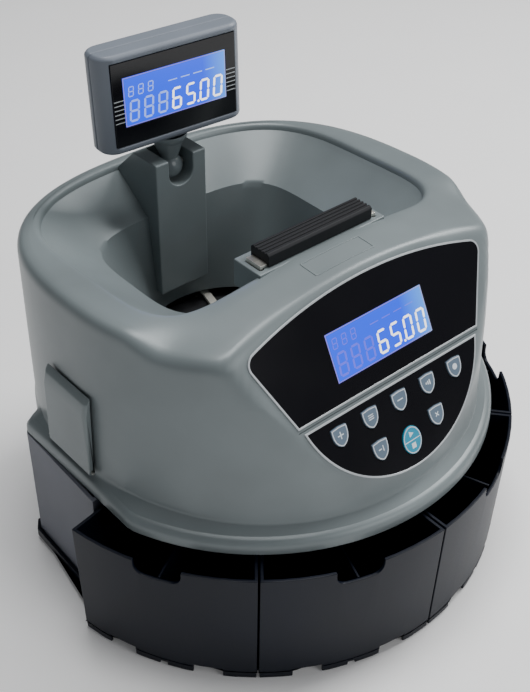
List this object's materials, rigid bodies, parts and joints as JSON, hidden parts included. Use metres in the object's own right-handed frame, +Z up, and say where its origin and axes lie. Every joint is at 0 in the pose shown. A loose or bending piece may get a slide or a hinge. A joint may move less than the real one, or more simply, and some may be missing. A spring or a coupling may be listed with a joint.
{
  "type": "coin sorting machine",
  "caption": "Desktop coin counter and sorter: drum housing with an open hopper, sloping keypad panel, tilting customer display and radial coin cups.",
  "frame": {"origin": "centre of the bounding box's footprint, on the table under the feet", "axes": "+X to the machine's right as the operator sees it, -Y towards the operator and the keypad, +Z up"},
  "size_m": [0.3502, 0.3212, 0.3259],
  "materials": {
    "housing_grey": "satin, fine spark texture",
    "base_grey": "satin",
    "charcoal": "semi-matt",
    "black_gloss": "glossy",
    "lcd_blue": "lit blue display",
    "key_blue": "soft satin",
    "key_cyan": "soft satin",
    "rubber": "matt",
    "steel": "brushed",
    "aluminium": "plain",
    "board_green": "solder mask",
    "white_plastic": "plain",
    "copper": "wound wire"
  },
  "bodies": {
    "base": {"base_housing": "base_grey", "base_pan": "charcoal", "foot_1": "rubber", "foot_2": "rubber", "foot_3": "rubber", "foot_4": "rubber", "mech_plate": "aluminium", "sort_ring": "aluminium", "chute_ring": "charcoal", "coin_sensor": "copper", "bearing_housing": "aluminium", "lower_bearing": "steel", "upper_bearing": "steel", "motor": "steel", "motor_bracket": "aluminium", "drive_belt": "rubber", "transformer": "steel", "power_board": "board_green", "power_inlet": "black_gloss", "switch_frame": "black_gloss", "data_socket": "steel", "hinge_pin_left": "steel", "hinge_pin_right": "steel"},
    "cover": {"upper_housing": "housing_grey", "display_overlay": "black_gloss", "keypad_overlay": "black_gloss", "main_lcd": "lcd_blue", "control_board": "board_green", "latch_pin_left": "steel", "latch_pin_right": "steel", "display_pin": "steel"},
    "cup_1": {"coin_cup_1": "charcoal"},
    "cup_2": {"coin_cup_2": "charcoal"},
    "cup_3": {"coin_cup_3": "charcoal"},
    "cup_4": {"coin_cup_4": "charcoal"},
    "button_plus": {"key_plus": "key_blue"},
    "button_batch": {"key_batch": "key_blue"},
    "button_minus": {"key_minus": "key_blue"},
    "button_report": {"key_report": "key_blue"},
    "button_set": {"key_set": "key_blue"},
    "button_add": {"key_add": "key_blue"},
    "button_clear": {"key_clear": "key_blue"},
    "button_start_stop": {"key_start_stop": "key_cyan"},
    "handle": {"handle_grip": "rubber", "handle_strap": "steel"},
    "left_latch": {"latch_left": "housing_grey"},
    "right_latch": {"latch_right": "housing_grey"},
    "display_arm": {"display_stalk": "housing_grey"},
    "display_head": {"display_front_shell": "housing_grey", "display_back_shell": "housing_grey", "display_window": "black_gloss", "display_lcd": "lcd_blue", "display_board": "board_green"},
    "sorter": {"sorting_disc": "aluminium", "disc_mat": "rubber", "pusher_wheel": "white_plastic", "drive_shaft": "steel", "driven_pulley": "white_plastic"},
    "motor_wheel": {"motor_pulley": "white_plastic"},
    "rocker": {"power_rocker": "black_gloss"}
  },
  "joints": [
    {"name": "cover_hinge", "type": "hinge", "parent": "base", "child": "cover", "pos_m": [0, 0.15745, 0.1015], "axis": [-1, 0, 0], "range_deg": [0, 65]},
    {"name": "cup_1_slide", "type": "slide", "parent": "base", "child": "cup_1", "axis": [-0.8712, -0.4909, 0], "range_m": [0, 0.09]},
    {"name": "cup_2_slide", "type": "slide", "parent": "base", "child": "cup_2", "axis": [-0.3453, -0.9385, 0], "range_m": [0, 0.09]},
    {"name": "cup_3_slide", "type": "slide", "parent": "base", "child": "cup_3", "axis": [0.3453, -0.9385, 0], "range_m": [0, 0.09]},
    {"name": "cup_4_slide", "type": "slide", "parent": "base", "child": "cup_4", "axis": [0.8712, -0.4909, 0], "range_m": [0, 0.09]},
    {"name": "press_plus", "type": "slide", "parent": "cover", "child": "button_plus", "axis": [0, 0.8829, -0.4695], "range_m": [0, 0.0007], "stiffness_N_per_m": 500, "springref_m": -0.0012},
    {"name": "press_batch", "type": "slide", "parent": "cover", "child": "button_batch", "axis": [0, 0.8829, -0.4695], "range_m": [0, 0.0007], "stiffness_N_per_m": 500, "springref_m": -0.0012},
    {"name": "press_minus", "type": "slide", "parent": "cover", "child": "button_minus", "axis": [0, 0.8829, -0.4695], "range_m": [0, 0.0007], "stiffness_N_per_m": 500, "springref_m": -0.0012},
    {"name": "press_report", "type": "slide", "parent": "cover", "child": "button_report", "axis": [0, 0.8829, -0.4695], "range_m": [0, 0.0007], "stiffness_N_per_m": 500, "springref_m": -0.0012},
    {"name": "press_set", "type": "slide", "parent": "cover", "child": "button_set", "axis": [0, 0.8829, -0.4695], "range_m": [0, 0.0007], "stiffness_N_per_m": 500, "springref_m": -0.0012},
    {"name": "press_add", "type": "slide", "parent": "cover", "child": "button_add", "axis": [0, 0.8829, -0.4695], "range_m": [0, 0.0007], "stiffness_N_per_m": 500, "springref_m": -0.0012},
    {"name": "press_clear", "type": "slide", "parent": "cover", "child": "button_clear", "axis": [0, 0.8829, -0.4695], "range_m": [0, 0.0007], "stiffness_N_per_m": 500, "springref_m": -0.0012},
    {"name": "press_start_stop", "type": "slide", "parent": "cover", "child": "button_start_stop", "axis": [0, 0.8829, -0.4695], "range_m": [0, 0.0007], "stiffness_N_per_m": 500, "springref_m": -0.0012},
    {"name": "handle_lift", "type": "slide", "parent": "cover", "child": "handle", "axis": [0, 0, 1], "range_m": [0, 0.01]},
    {"name": "latch_left_hinge", "type": "hinge", "parent": "cover", "child": "left_latch", "pos_m": [-0.1488, 0.02385, 0.1174], "axis": [0, -1, 0], "range_deg": [0, 25]},
    {"name": "latch_right_hinge", "type": "hinge", "parent": "cover", "child": "right_latch", "pos_m": [0.1488, 0.02385, 0.1174], "axis": [0, 1, 0], "range_deg": [0, 25]},
    {"name": "display_tilt", "type": "hinge", "parent": "cover", "child": "display_arm", "pos_m": [0, 0.11035, 0.2335], "axis": [1, 0, 0], "range_deg": [-13, 12]},
    {"name": "display_swivel", "type": "hinge", "parent": "display_arm", "child": "display_head", "pos_m": [0, 0.11035, 0.2585], "axis": [0, 0, 1], "range_deg": [-40, 40]},
    {"name": "disc_spin", "type": "hinge", "parent": "base", "child": "sorter", "pos_m": [0, 0.01685, 0.112], "axis": [0, 0, 1], "continuous": true},
    {"name": "motor_spin", "type": "hinge", "parent": "base", "child": "motor_wheel", "pos_m": [0, 0.10085, 0.078], "axis": [0, 0, 1], "continuous": true},
    {"name": "rocker_hinge", "type": "hinge", "parent": "base", "child": "rocker", "pos_m": [-0.002, 0.14985, 0.036], "axis": [-1, 0, 0], "range_deg": [0, 14]}
  ],
  "couplings": [
    {"joint": "motor_spin", "follows": "disc_spin", "ratio": 3}
  ]
}
